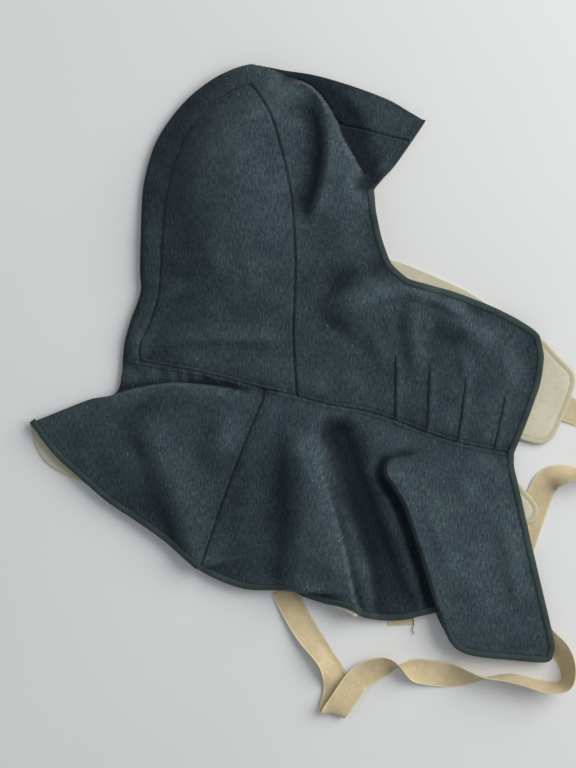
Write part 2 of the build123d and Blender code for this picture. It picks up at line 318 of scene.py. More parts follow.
# Folds and wrinkles: the line's points, its rise, and the widths of its steep and gentle sides
HOOD_WRINKLES = [
    ([(140, 74), (97, 80), (70, 72), (48, 58), (28, 36)], 10.5, 26, 30),
    ([(106, 62), (109, 36), (112, 6), (114, -24)], 5.0, 15, 9),
    ([(80, 58), (86, 34), (89, 12)], 2.0, 5, 7),
    ([(118, 62), (121, 40), (123, 14)], 2.2, 5, 7),
    ([(148, 50), (160, 30), (166, 12)], 2.0, 6, 8),
    ([(122, 62), (150, 44), (178, 25), (196, 14)], 9.0, 23, 15),
    ([(14, 42), (46, 54), (72, 62), (100, 68), (130, 61), (168, 40)], 4.4, 6, 14),
    ([(150, 30), (158, 0), (162, -30)], 2.6, 8, 10),
    ([(62, 40), (78, 10), (84, -20)], 3.2, 12, 14),
    ([(190, 20), (204, -10), (206, -40)], 3.0, 14, 12),
    ([(-146, 20), (-100, 24), (-60, 25), (-13, 20)], 3.6, 9, 14),
    ([(-150, 56), (-128, 70), (-98, 80)], 2.6, 8, 10),
    ([(-100, 118), (-88, 96), (-70, 80)], 2.4, 9, 12),
    ([(-66, 110), (-52, 88), (-48, 60)], 2.2, 9, 12),
    ([(20, 96), (14, 76), (4, 60)], 3.0, 12, 12),
    ([(60, 110), (52, 84), (30, 60)], 3.0, 14, 16),
]
CAPE_WRINKLES = [
    ([(-168, -44), (-146, -80), (-130, -120), (-114, -166), (-104, -206)], 8.5, 22, 24),
    ([(-70, -40), (-80, -76), (-98, -98)], 6.5, 18, 14),
    ([(-3, -56), (0, -107), (-1, -157), (-6, -228)], 10.5, 24, 30),
    ([(-3, -56), (0, -107), (-1, -157), (-6, -228)], 5.0, 70, 30),
    ([(112, -120), (128, -160), (146, -215)], 2.0, 10, 14),
    ([(196, -140), (206, -190), (216, -250)], 4.0, 14, 16),
    ([(150, -96), (160, -120), (170, -150)], 3.2, 12, 14),
    ([(-40, -90), (-52, -140), (-70, -190)], 2.4, 14, 18),
]


def hood_folds(p, z):
    """Adds the hood's folds, the hollow along its neck and the pleats."""
    inside, along, length = nearest(p, BULGE)
    from_start, from_end = (np.linalg.norm(p - BULGE[k], axis=1) for k in (0, -1))
    fade = step(from_start / 26) * step(from_end / 30 + 0.22)
    z = z + 17 * fade * step((inside + 1) / 7) * np.exp(-((np.clip(inside, 0, None) / 60) ** 2))
    foot = step(along / 12) * step((length - along) / 34 + 0.1)
    z -= 12.5 * foot * (inside < 0) * hump(inside, 24)
    soft, along, length = nearest(p, SOFT_FOLD)
    fade = step(along / 50 + 0.12) * step((length - along) / 34)
    beyond = np.where(soft > 11, hump(soft - 11, 26), 1)
    z += fade * beyond * (-7.5 * hump(np.minimum(soft, 0), 26) + 12.0 * step(soft / 11))
    for points, rise, steep, gentle in HOOD_WRINKLES:
        z += crest(p, np.array(points, float), rise, steep, gentle)
    neck, along, _ = nearest(p, NECK)
    z -= 2.8 * hump(neck, 12)
    z += 1.0 * np.sin(along / 9.5 + 1.3 * np.sin(along / 31)) * hump(neck - 14, 15) * (neck > 0)
    for pleat in PLEATS:
        d, along, length = nearest(p, pleat)
        fade = step(along / 16)
        z += fade * (1.3 * hump(d - 3.6, 2.8) - 1.2 * hump(d, 0.9) - 0.5 * hump(d + 4, 3))
    return z


def cape_folds(p, z):
    """Adds the puckered recess under the neck with the cape rolling over it, and the cape's folds."""
    neck = nearest(p, NECK)[0]
    below = neck < 0.5
    over, along, _ = nearest(p, OVERLAP)
    fade = step((-42 - p[:, 0]) / 50) * below
    depth = np.abs(neck) / (np.abs(neck) + np.abs(over) + 1e-6)
    pucker = 1.1 * np.sin(along / 2.6 + 2 * np.sin(along / 11)) * np.sin(np.pi * depth)
    recess = -7.5 * depth**0.8 + pucker
    roll = 5.0 * hump(over, 13)
    into = step((over + 1.5) / 2.5)
    z += fade * np.where(over > -1.5, recess * into + roll * (1 - into), roll)
    z -= 1.2 * hump(nearest(p, CAPE_SEAM)[0], 9) * below
    for points, rise, steep, gentle in CAPE_WRINKLES:
        line = np.array(points, float)
        to_hem = distance(line[-1:], HEM)[0]
        z += crest(p, line, rise, steep, gentle, 40, 4 if to_hem < 12 else 28) * below
    z += crest(p, RIDGE[::-1], 10.5, 5.5, 26, 3, 60) * below
    floor, along, _ = nearest(p, VALLEY)
    z -= 19.0 * np.where(floor < 0, hump(floor, 13), hump(floor, 22)) * step(along / 26) * below
    fold, along, length = nearest(p, FRONT_FOLD)
    start = step((-86 - p[:, 1]) / 34) * below
    z += 9.0 * start * step((fold + 1.4) / 2.8) * hump(np.clip(fold, 0, None), 46) * (fold > -3)
    pocket = step((-84 - p[:, 1]) / 14) * below
    z -= 6.0 * pocket * hump(fold + 5, 6) * (fold < 1.4)
    return z


def settle(p, z):
    """Lets the cloth down at its open edges, more at the hem than at the face."""
    for line, low, reach in ((FACE, 13.0, 34), (PEAK, 9.5, 26), (CHIN, 12.0, 40), (CAPE_FRONT, 10.5, 60)):
        d = distance(p, line)
        z = np.where(d < reach, low + (z - low) * step(0.12 + 0.88 * d / reach), z)
    for line, low, share in ((HEM, 10.5, 0.8), (FRONT_HEM, 12.0, 0.65)):
        d = distance(p, line)
        z = np.where(d < 48, z + (low - z) * share * (1 - step(d / 48)), z)
    return z


def top(p, fine=True):
    """The height of the right half's outer face over plan points, in mm."""
    p = np.asarray(p, float)
    z = cape_folds(p, hood_folds(p, settle(p, broad_shape(p))))
    back = distance(p, BACK)
    calm = step(back / 14)
    z += calm * (1.2 * cloth_noise(p, 46, 1.7) + 0.6 * cloth_noise(p, 15, 4.1))
    z = np.maximum(z, FOLD_HEIGHT + 1.4 * fold_rise(back, 8))
    if fine:
        for line in (SIDE, BAND, NECK, CAPE_SEAM):
            d, along, _ = nearest(p, line)
            tug = np.sin(along / 2.1 + 2.2 * np.sin(along / 17))
            z += calm * (-2.0 * hump(d, 1.15) + 0.3 * tug * hump(d, 7))
            if line is NECK:
                z -= calm * 0.8 * (hump(d - 4, 0.9) + 0.7 * hump(d + 4, 0.9))
    return z


class Field:
    """Heights over a plan grid, for looking up what lies round a point."""

    pitch = 2.5
    low = np.array([-280.0, -304.0])
    shape = (244, 217)

    def __init__(self, function):
        xs = self.low[0] + self.pitch * np.arange(self.shape[1])
        ys = self.low[1] + self.pitch * np.arange(self.shape[0])
        grid = np.array(np.meshgrid(xs, ys)).reshape(2, -1).T
        self.values = function(grid).reshape(self.shape)

    def windowed(self, reach, how):
        """The same field with each value replaced by how of the square round it."""
        made = copy.copy(self)
        for axis in (0, 1):
            width = [(reach, reach) if k == axis else (0, 0) for k in (0, 1)]
            padded = np.pad(made.values, width, mode="edge")
            windows = np.lib.stride_tricks.sliding_window_view(padded, 2 * reach + 1, axis)
            made.values = how(windows, axis=-1)
        return made

    def at(self, p):
        """The values at any points, evenly between those of the grid."""
        last = (self.shape[1] - 1.001, self.shape[0] - 1.001)
        u = np.clip((np.asarray(p, float) - self.low) / self.pitch, 0, last)
        i, f = u.astype(int), u - u.astype(int)
        v = self.values
        near = v[i[:, 1], i[:, 0]] * (1 - f[:, 0]) + v[i[:, 1], i[:, 0] + 1] * f[:, 0]
        far = v[i[:, 1] + 1, i[:, 0]] * (1 - f[:, 0]) + v[i[:, 1] + 1, i[:, 0] + 1] * f[:, 0]
        return near * (1 - f[:, 1]) + far * f[:, 1]


def broad_top(p):
    return top(p, fine=False)


SURFACE = Field(broad_top)
LOWEST = SURFACE.windowed(1, np.min)
LOWEST_BY_FOLD = SURFACE.windowed(3, np.min)
AROUND = SURFACE.windowed(5, np.mean).windowed(3, np.mean)
FURTHER = AROUND.windowed(10, np.mean)


def painted_relief_shading(p):
    """How far a point lies below the cloth round it, close by and further off: the amount of painted shade
    in the wool's hollows, and of painted highlight on its crests where it is below 0.
    """
    return (AROUND.at(p) - SURFACE.at(p)) / 6.0 + (FURTHER.at(p) - SURFACE.at(p)) / 20.0


def painted_shade_and_light(p):
    """How much painted shade is put on the wool, or painted light below 0, in listed areas that
    follow the photo's light and dark. It comes on top of the painted shade and highlight of the hollows."""
    # Painted shade in creases, in the valley and beside the crest over the peak, and painted light on the
    # ridge and the rolls
    dark = 0.36 * bell(p, (-110, 218), (24, 52)) + 0.34 * bell(p, (30, 222), (20, 42))
    dark += 0.34 * hump(nearest(p, VALLEY)[0] - 6, 24) * step((-62 - p[:, 1]) / 30)
    beside = nearest(p, BULGE)[0]
    dark += 0.60 * hump(beside + 5, 12) * (beside < -0.5) * step((p[:, 0] - 12) / 16)
    dark += 0.34 * bell(p, (50, 240), (20, 22)) + 0.22 * bell(p, (-40, -130), (34, 50))
    dark += 0.38 * bell(p, (46, 81), (44, 13)) + 0.16 * bell(p, (225, 0), (26, 30))
    painted_light = 0.50 * bell(p, (178, -190), (50, 90)) + 0.44 * bell(p, (106, 60), (44, 18))
    painted_light += 0.45 * hump(nearest(p, RIDGE)[0] + 4, 6) * step((-110 - p[:, 1]) / 60)
    painted_light += 1.10 * bell(p, (-136, -14), (46, 9)) + 0.26 * bell(p, (-60, 205), (24, 52))
    return dark - painted_light


def under_fold(p):
    """The left half's outer face: on the table, and rising to the fold at the back."""
    back = distance(p, BACK)
    return ABOVE_TABLE + (FOLD_HEIGHT - ABOVE_TABLE) * (1 - fold_rise(back, 6))


# ---------------------------------------------------------------- meshes


def inside(p, outline):
    """Which of p lie inside a closed outline."""
    odd = np.zeros(len(p), bool)
    for a, b in zip(outline, np.roll(outline, -1, axis=0)):
        if a[1] != b[1]:
            crosses = (a[1] > p[:, 1]) != (b[1] > p[:, 1])
            odd ^= crosses & (p[:, 0] < a[0] + (p[:, 1] - a[1]) * (b[0] - a[0]) / (b[1] - a[1]))
    return odd


def closed(outline):
    return np.vstack([outline, outline[:1]])


def rows_inside(outline, offsets):
    """Rows of points at offsets inside an outline."""
    x, y = outline.T
    if np.dot(x, np.roll(y, -1)) < np.dot(y, np.roll(x, -1)):
        outline = outline[::-1]
    along = np.roll(outline, -1, axis=0) - np.roll(outline, 1, axis=0)
    inward = np.column_stack([-along[:, 1], along[:, 0]])
    inward /= np.linalg.norm(inward, axis=1)[:, None]
    kept = []
    for offset in offsets:
        row = outline + inward * offset
        row = row[inside(row, outline)]
        kept.append(row[distance(row, closed(outline)) > 0.85 * offset])
    return np.vstack(kept)


EDGE_OFFSETS = (0.6, 1.4, 2.4, 3.3, 4.0, 4.8, 6.2)
TRIANGLE_RISE = 0.866  # height of an even triangle with side 1
RAIL_OFFSETS = (-4.2, -2.4, -1.2, 0, 1.2, 2.4, 4.2)


def plan_mesh(outline, spacing, offsets=EDGE_OFFSETS, rails=()):
    """Plan points and triangles that fill an outline, with rows of points along its edge. rails
    are lines with points close beside them, where the surface turns sharply."""
    rows = rows_inside(outline, offsets)
    for rail in rails:
        for offset in RAIL_OFFSETS:
            row = offset_line(rail, offset)
            row = row[inside(row, outline)]
            rows = np.vstack([rows, row[distance(row, closed(outline)) > 1.0]])
    low, high = outline.min(axis=0), outline.max(axis=0)
    grid = np.array([
        (x + (spacing / 2 if j % 2 else 0), y)
        for j, y in enumerate(np.arange(low[1], high[1], spacing * TRIANGLE_RISE))
        for x in np.arange(low[0], high[0], spacing)
    ])
    grid = grid[inside(grid, outline)]
    grid = grid[distance(grid, closed(outline)) > offsets[-1] + 0.5 * spacing]
    for rail in rails:
        grid = grid[distance(grid, rail) > RAIL_OFFSETS[-1] + 0.4 * spacing]
    points = np.vstack([outline, rows, grid])
    n = len(outline)
    edges = [(i, (i + 1) % n) for i in range(n)]
    found, _, faces, *_ = delaunay_2d_cdt([Vector(q) for q in points], edges, [], 1, 1e-3)
    return np.array([(v.x, v.y) for v in found]), [tuple(f) for f in faces]


def plan_places(obj):
    return np.array([v.co for v in obj.data.vertices])[:, :2] / MM


def mark(obj, name, values):
    """Stores a value at each point of a mesh, for its material."""
    layer = obj.data.attributes.new(name, "FLOAT", "POINT")
    layer.data.foreach_set("value", np.asarray(values, np.float32))


def stand(obj):
    bpy.context.scene.collection.objects.link(obj)
    return obj


def make_object(name, verts, faces, material):
    """A smooth mesh object from points in mm."""
    mesh = bpy.data.meshes.new(name)
    mesh.from_pydata([tuple(float(c) * MM for c in v) for v in verts], [], faces)
    made = bmesh.new()
    made.from_mesh(mesh)
    bmesh.ops.remove_doubles(made, verts=made.verts, dist=0.02 * MM)
    made.to_mesh(mesh)
    made.free()
    for polygon in mesh.polygons:
        polygon.use_smooth = True
    mesh.materials.append(material)
    return stand(bpy.data.objects.new(name, mesh))


def plan_map(obj):
    """A map of the cloth in metres, by its place in plan."""
    layer = obj.data.uv_layers.new(name="cloth")
    for one in obj.data.loops:
        co = obj.data.vertices[one.vertex_index].co
        layer.data[one.index].uv = (co.x + 0.35 * co.z, co.y + 0.2 * co.z)


def give_thickness(obj, thickness):
    """Makes a sheet a closed one of real thickness, under its face."""
    solid = obj.modifiers.new("thickness", "SOLIDIFY")
    solid.thickness, solid.offset, solid.use_even_offset = thickness * MM, -1, False
    bpy.context.view_layer.update()
    mesh = bpy.data.meshes.new_from_object(obj.evaluated_get(bpy.context.evaluated_depsgraph_get()))
    obj.modifiers.clear()
    obj.data = mesh
    for polygon in mesh.polygons:
        polygon.use_smooth = True


def sharpen_rims(obj, angle=50):
    """Shades edges that turn by more than angle degrees as sharp ones."""
    mesh = obj.data
    made = bmesh.new()
    made.from_mesh(mesh)
    for edge in made.edges:
        edge.smooth = len(edge.link_faces) != 2 or edge.calc_face_angle(0) < math.radians(angle)
    made.to_mesh(mesh)
    made.free()


def cloth(name, outline, height, thickness, material, spacing=SPACING, under=None, rails=()):
    """A sheet over an outline. under is the outline of its other leaf, folded round the back."""
    points, faces = plan_mesh(outline, spacing, rails=rails)
    verts = np.column_stack([points, height(points)])
    if under is not None:
        low_points, low_faces = plan_mesh(under, max(spacing, 4.0))
        low = np.column_stack([low_points, under_fold(low_points)])
        faces = faces + [tuple(reversed([i + len(verts) for i in f])) for f in low_faces]
        verts = np.vstack([verts, low])
        back = distance(verts[:, :2], BACK) < 0.05
        verts[back, 2] = FOLD_HEIGHT
    obj = make_object(name, verts, faces, material)
    give_thickness(obj, thickness)
    sharpen_rims(obj)
    plan_map(obj)
    plan = plan_places(obj)
    # Stores the painted shade of the hollows and the painted highlight of the crests, with the listed
    # painted shade and light, for the wool's colour
    mark(obj, "painted_relief_shading", np.clip(painted_relief_shading(plan) + painted_shade_and_light(plan), -1, 1))
    return obj


def area_of(outline):
    x, y = outline.T
    return abs(np.dot(x, np.roll(y, -1)) - np.dot(y, np.roll(x, -1))) / 2 * MM * MM


def declare(obj, outline):
    """Works out the cut size of a sheet: the smallest box round its outline, and the area inside. A
    curved strip is measured as a straight one with the same edge and area. The sizes are not kept
    or given back."""
    sizes = []
    for turn in np.radians(np.arange(0, 90, 3)):
        c, d = math.cos(turn), math.sin(turn)
        turned = outline @ np.array([[c, -d], [d, c]])
        sizes.append((turned.max(axis=0) - turned.min(axis=0)) * MM)
    width, length = (float(size) for size in min(sizes, key=lambda size: size[0] * size[1]))
    area = float(area_of(outline))
    if area < 0.4 * width * length:
        edge = float(np.linalg.norm(np.diff(closed(outline), axis=0), axis=1).sum()) * MM
        length = (edge + math.sqrt(edge * edge - 16 * area)) / 4
        width = area / length


def ring_faces(rings, sides, start=0):
    """The faces between rings of points that follow each other, the first ring at start."""
    faces = []
    for i in range(rings - 1):
        a, b = start + i * sides, start + (i + 1) * sides
        faces += [(a + k, a + (k + 1) % sides, b + (k + 1) % sides, b + k) for k in range(sides)]
    return faces


def tube_along(name, path, section, material, height):
    """A strip swept along a plan line. section gives (inward offset, height above the surface)
    pairs, and height is the surface's."""
    inward = left_of(path)
    rings = [
        np.column_stack([path + inward * off, height(path + inward * max(off, 0)) + up])
        for off, up in section
    ]
    n, m = len(path), len(section)
    verts = np.array(rings).transpose(1, 0, 2).reshape(-1, 3)
    faces = ring_faces(n, m) + [tuple(range(m)), tuple(reversed([(n - 1) * m + k for k in range(m)]))]
    obj = make_object(name, verts, faces, material)
    layer = obj.data.uv_layers.new(name="cloth")
    reach = reach_along(path)
    order = np.array([(section[k][0], reach[i]) for i in range(n) for k in range(m)])
    for one in obj.data.loops:
        v = min(one.vertex_index, len(order) - 1)
        layer.data[one.index].uv = (order[v][0] * MM, order[v][1] * MM)
    return obj


# ---------------------------------------------------------------- materials


class Shader:
    """A node material, built by name."""

    def __init__(self, name, roughness=0.9, sheen=0.0, specular=0.25):
        self.material = bpy.data.materials.new(name)
        self.material.use_nodes = True
        self.nodes, self.links = self.material.node_tree.nodes, self.material.node_tree.links
        self.surface = self.nodes["Principled BSDF"]
        self.fill(self.surface, Roughness=roughness, Sheen_Weight=sheen, Sheen_Roughness=0.45)
        self.fill(self.surface, Specular_IOR_Level=specular)
        self.map = self.node("UVMap")
        self.map.uv_map = "cloth"

    def put(self, socket, value):
        if isinstance(value, bpy.types.NodeSocket):
            self.links.new(value, socket)
        else:
            socket.default_value = value

    def fill(self, node, **inputs):
        for name, value in inputs.items():
            self.put(node.inputs[name.replace("_", " ")], value)
        return node

    def node(self, kind, **inputs):
        """A new node with its inputs set, or linked where the value is another node's output."""
        return self.fill(self.nodes.new("ShaderNode" + kind), **inputs)

    def scaled(self, x, y, turn=0.0):
        turns = (0, 0, math.radians(turn))
        node = self.node("Mapping", Vector=self.map.outputs["UV"], Scale=(x, y, 1), Rotation=turns)
        return node.outputs["Vector"]

    def noise(self, vector, scale, detail=2.0, rough=0.5):
        node = self.node("TexNoise", Vector=vector, Scale=scale, Detail=detail, Roughness=rough)
        return node.outputs["Fac"]

    def wave(self, vector, scale, distortion=0.0, detail_scale=1.0, direction="X"):
        node = self.node("TexWave", Vector=vector, Scale=scale, Distortion=distortion)
        node.bands_direction = direction
        return self.fill(node, Detail_Scale=detail_scale).outputs["Fac"]

    def math(self, operation, a, b=0.0):
        node = self.node("Math")
        node.operation = operation
        self.put(node.inputs[0], a)
        self.put(node.inputs[1], b)
        return node.outputs[0]

    def sum_of(self, *terms):
        """The sum of (value, share) products."""
        total = self.math("MULTIPLY", *terms[0])
        for term in terms[1:]:
            total = self.math("ADD", total, self.math("MULTIPLY", *term))
        return total

    def attribute(self, name):
        node = self.node("Attribute")
        node.attribute_name = name
        return node.outputs["Fac"]

    def ramp(self, factor, stops):
        node = self.node("ValToRGB", Fac=factor)
        ramp = node.color_ramp
        while len(ramp.elements) < len(stops):
            ramp.elements.new(0.5)
        for element, (at, colour) in zip(ramp.elements, stops):
            element.position, element.color = at, (*colour, 1)
        return node.outputs["Color"]

    def mix(self, factor, a, b, blend="MIX"):
        node = self.node("Mix")
        node.data_type, node.blend_type = "RGBA", blend
        self.put(node.inputs["Factor"], factor)
        for socket, value in ((node.inputs["A"], a), (node.inputs["B"], b)):
            self.put(socket, value if isinstance(value, bpy.types.NodeSocket) else (*value, 1))
        return node.outputs["Result"]

    def finish(self, colour, height, distance, roughness=None):
        bump = self.node("Bump", Distance=distance, Strength=1.0, Height=height)
        self.fill(self.surface, Base_Color=colour, Normal=bump.outputs["Normal"])
        if roughness is not None:
            self.fill(self.surface, Roughness=roughness)
        return self.material


def wool_twill():
    """Blue-grey wool: dark and light fibres along the warp, a fine diagonal twill, lint, and painted
    shade in the hollows and painted highlight on the crests, from a value stored on the mesh."""
    s = Shader("wool_twill", roughness=0.92, sheen=0.10, specular=0.12)
    warp = s.noise(s.scaled(1050, 110), 1.0, 4, 0.7)
    weft = s.noise(s.scaled(240, 760), 1.0, 3, 0.65)
    twill = s.wave(s.scaled(1, 1, 58), 520, 1.2, 2.0)
    patches = s.noise(s.scaled(1, 1), 26, 4, 0.55)
    mottle = s.noise(s.scaled(1, 0.4), 560, 3, 0.65)
    fibres = s.sum_of((warp, 0.70), (weft, 0.30))
    colour = s.ramp(s.sum_of((fibres, 0.62), (twill, 0.12), (mottle, 0.26)), [
        (0.34, (0.010, 0.015, 0.020)), (0.46, (0.028, 0.044, 0.054)),
        (0.56, (0.056, 0.082, 0.095)), (0.70, (0.165, 0.205, 0.212)),
    ])
    worn = s.ramp(patches, [
        (0.32, (0.80, 0.82, 0.86)), (0.55, (1.0, 1.0, 1.0)), (0.75, (1.16, 1.15, 1.10)),
    ])
    colour = s.mix(1.0, colour, worn, "MULTIPLY")
    # Painted shade in the cloth's hollows and painted highlight on its crests, from the stored value
    depth = s.math("ADD", s.math("MULTIPLY", s.attribute("painted_relief_shading"), 0.5), 0.5)
    painted_shade_and_highlight = s.ramp(depth, [
        (0.15, (1.28, 1.28, 1.25)), (0.42, (1.0, 1.0, 1.0)), (0.55, (0.82, 0.83, 0.84)),
        (0.75, (0.46, 0.48, 0.51)), (0.95, (0.28, 0.30, 0.33)),
    ])
    colour = s.mix(1.0, colour, painted_shade_and_highlight, "MULTIPLY")
    cell = s.node("TexVoronoi", Vector=s.scaled(1, 0.45), Scale=62)
    lint = s.math("LESS_THAN", cell.outputs["Distance"], 0.028)
    colour = s.mix(s.math("MULTIPLY", lint, 0.75), colour, (0.34, 0.35, 0.32))
    height = s.sum_of((twill, 0.45), (fibres, 0.55))
    rough = s.math("ADD", 0.84, s.math("MULTIPLY", fibres, 0.14))
    return s.finish(colour, height, 0.00035, rough)


def plain_cotton(name, light, dark, stain):
    """Plain-weave cotton: crossing threads, slubs and faint age marks."""
    s = Shader(name, roughness=0.88, sheen=0.12, specular=0.2)
    across = s.wave(s.scaled(1, 1), 420, direction="Y")
    weave = s.math("MULTIPLY", s.wave(s.scaled(1, 0.0), 420), across)
    slub = s.noise(s.scaled(140, 900), 1.0, 2, 0.6)
    marks = s.noise(s.scaled(1, 1), 34, 4, 0.6)
    tone = s.sum_of((weave, 0.35), (slub, 0.65))
    colour = s.ramp(tone, [(0.25, dark), (0.62, light)])
    colour = s.mix(s.math("MULTIPLY", s.math("SUBTRACT", marks, 0.45), 0.9), colour, stain)
    colour = s.mix(s.math("MULTIPLY", s.attribute("rim"), 0.55), colour, stain)
    return s.finish(colour, tone, 0.00022)


def ribbed_binding():
    """Dark green tape, ribbed across its length and faded in patches."""
    s = Shader("ribbed_binding", roughness=0.9, sheen=0.2, specular=0.2)
    rib = s.wave(s.scaled(1, 1), 330, direction="Y")
    fibre = s.noise(s.scaled(900, 500), 1.0, 3, 0.6)
    fade = s.noise(s.scaled(1, 1), 38, 3, 0.5)
    tone = s.sum_of((rib, 0.35), (fibre, 0.65))
    colour = s.ramp(tone, [
        (0.25, (0.016, 0.027, 0.030)), (0.55, (0.033, 0.052, 0.054)), (0.8, (0.085, 0.115, 0.110)),
    ])
    faded = s.ramp(fade, [(0.35, (0.8, 0.8, 0.85)), (0.7, (1.15, 1.15, 1.05))])
    colour = s.mix(1.0, colour, faded, "MULTIPLY")
    return s.finish(colour, tone, 0.0003)


def herringbone_tape():
    """Ecru cotton tape: twill that turns over at the middle, and faint creases across."""
    s = Shader("herringbone_tape", roughness=0.86, sheen=0.15, specular=0.22)
    x, y, _ = s.node("SeparateXYZ", Vector=s.scaled(1, 1)).outputs
    fold = s.math("ABSOLUTE", s.math("SUBTRACT", s.math("FRACT", s.math("MULTIPLY", x, 240.0)), 0.5))
    slope = s.sum_of((y, 1300.0), (fold, 4.2))
    twill = s.math("MULTIPLY", s.math("ADD", s.math("SINE", s.math("MULTIPLY", slope, 2.6)), 1.0), 0.5)
    fibre = s.noise(s.scaled(700, 160), 1.0, 3, 0.6)
    marks = s.noise(s.scaled(1, 1), 60, 4, 0.6)
    crease = s.noise(s.scaled(20, 190), 1.0, 2, 0.5)
    tone = s.sum_of((twill, 0.3), (fibre, 0.7))
    colour = s.ramp(tone, [(0.2, (0.46, 0.36, 0.20)), (0.65, (0.68, 0.565, 0.36))])
    colour = s.mix(s.math("MULTIPLY", s.math("SUBTRACT", marks, 0.42), 1.1), colour, (0.36, 0.27, 0.15))
    selvedge = s.math("GREATER_THAN", s.math("ABSOLUTE", x), (TAPE_WIDTH / 2 - SELVEDGE) * MM)
    colour = s.mix(s.math("MULTIPLY", selvedge, 0.6), colour, (0.72, 0.66, 0.44))
    height = s.sum_of((tone, 0.5), (crease, 0.9))
    return s.finish(colour, height, 0.00035)


def thread(name, light, dark):
    s = Shader(name, roughness=0.8)
    twist = s.wave(s.scaled(1, 1, 35), 900, 0.5)
    return s.finish(s.ramp(twist, [(0.2, dark), (0.8, light)]), twist, 0.0001)


def paper_floor():
    s = Shader("paper_floor", roughness=0.75, specular=0.2)
    at = s.node("TexCoord").outputs["Object"]
    grain = s.noise(at, 900, 2, 0.5)
    broad = s.noise(at, 2.2, 2, 0.4)
    colour = s.ramp(broad, [(0.3, (0.72, 0.725, 0.725)), (0.7, (0.76, 0.765, 0.765))])
    return s.finish(colour, grain, 0.00005)


WOOL = wool_twill()
COTTON = plain_cotton("plain_cotton", (0.70, 0.67, 0.53), (0.52, 0.49, 0.36), (0.46, 0.42, 0.27))
BINDING = ribbed_binding()
TAPE = herringbone_tape()
DARK_THREAD = thread("dark_thread", (0.022, 0.034, 0.040), (0.008, 0.012, 0.015))
CREAM_THREAD = thread("cream_thread", (0.62, 0.56, 0.40), (0.42, 0.36, 0.23))

# ---------------------------------------------------------------- camera, then the ties

VIEW_HEIGHT, VIEW_LENGTH, SENSOR = 1.6, 0.768, 36  # VIEW_LENGTH is what the photo's long side shows
camera = stand(bpy.data.objects.new("camera", bpy.data.cameras.new("camera")))
camera.location = (-0.0155, -0.021, VIEW_HEIGHT)
camera.data.sensor_width = SENSOR
camera.data.lens = SENSOR * VIEW_HEIGHT / VIEW_LENGTH
bpy.context.scene.camera = camera

# Each point of a tie's route: x, y, z in mm, and the tape's turn about its length in degrees,
# 0 and 180 where it lies flat and 90 where it stands on its edge
UPPER_TIE = [
    (252, -42, 3.6, 4), (276, -50, 2.0, 8), (298, -62, 5.0, 24), (313, -82, 9.5, 55),
    (304, -104, 11.5, 70), (280, -111, 12.0, 74), (256, -110, 8.0, 42), (240, -119, 2.2, 6),
    (230, -149, 0.9, 0), (218, -186, 0.9, 0), (202, -212, 0.9, 0), (170, -226, 0.9, 0),
    (136, -216, 0.9, 0), (96, -222, 0.9, 0), (98, -262, 0.9, 0),
]
LOWER_TIE = [
    (214, -142, 3.0, 0), (212, -168, 2.7, 0), (214, -202, 2.6, 0), (220, -240, 2.4, 12),
    (234, -272, 1.8, 8), (261, -289, 7.0, 46), (265, -322, 12.0, 74), (240, -323, 12.0, 72),
    (208, -312, 12.0, 78),
    (179, -313, 11.0, 100), (144, -312, 1.6, 172), (112, -307, 2.6, 200), (84, -300, 6.0, 322),
    (60, -311, 3.4, 358), (50, -320, 6.5, 360), (33, -345, 11.0, 352), (26, -352, 3.0, 352),
    (35, -322, 0.9, 356), (24, -296, 4.0, 316), (-3, -262, 1.2, 346), (-20, -226, 0.9, 360),
]


def route_points(name, route):
    """Even points of the smooth line that a route's points draw."""
    data = bpy.data.curves.new(name, "CURVE")
    data.dimensions, data.resolution_u = "3D", 24
    spline = data.splines.new("NURBS")
    spline.points.add(len(route) - 1)
    for point, (x, y, z, _) in zip(spline.points, route):
        point.co = (x * MM, y * MM, z * MM, 1)
    spline.order_u, spline.use_endpoint_u = 3, True
    holder = bpy.data.objects.new(name, data)
    mesh = bpy.data.meshes.new_from_object(holder)
    points = np.array([v.co for v in mesh.vertices])
    bpy.data.objects.remove(holder)
    bpy.data.curves.remove(data)
    bpy.data.meshes.remove(mesh)
    return points


TAPE_STEP, LANES = 1.8, 9  # between points along a tape, and how many lie across each face
CUP, WAVE, RIPPLE = (0.5, 21), (0.12, 6), (0.18, 11)  # size and run of a tape's bends, in mm


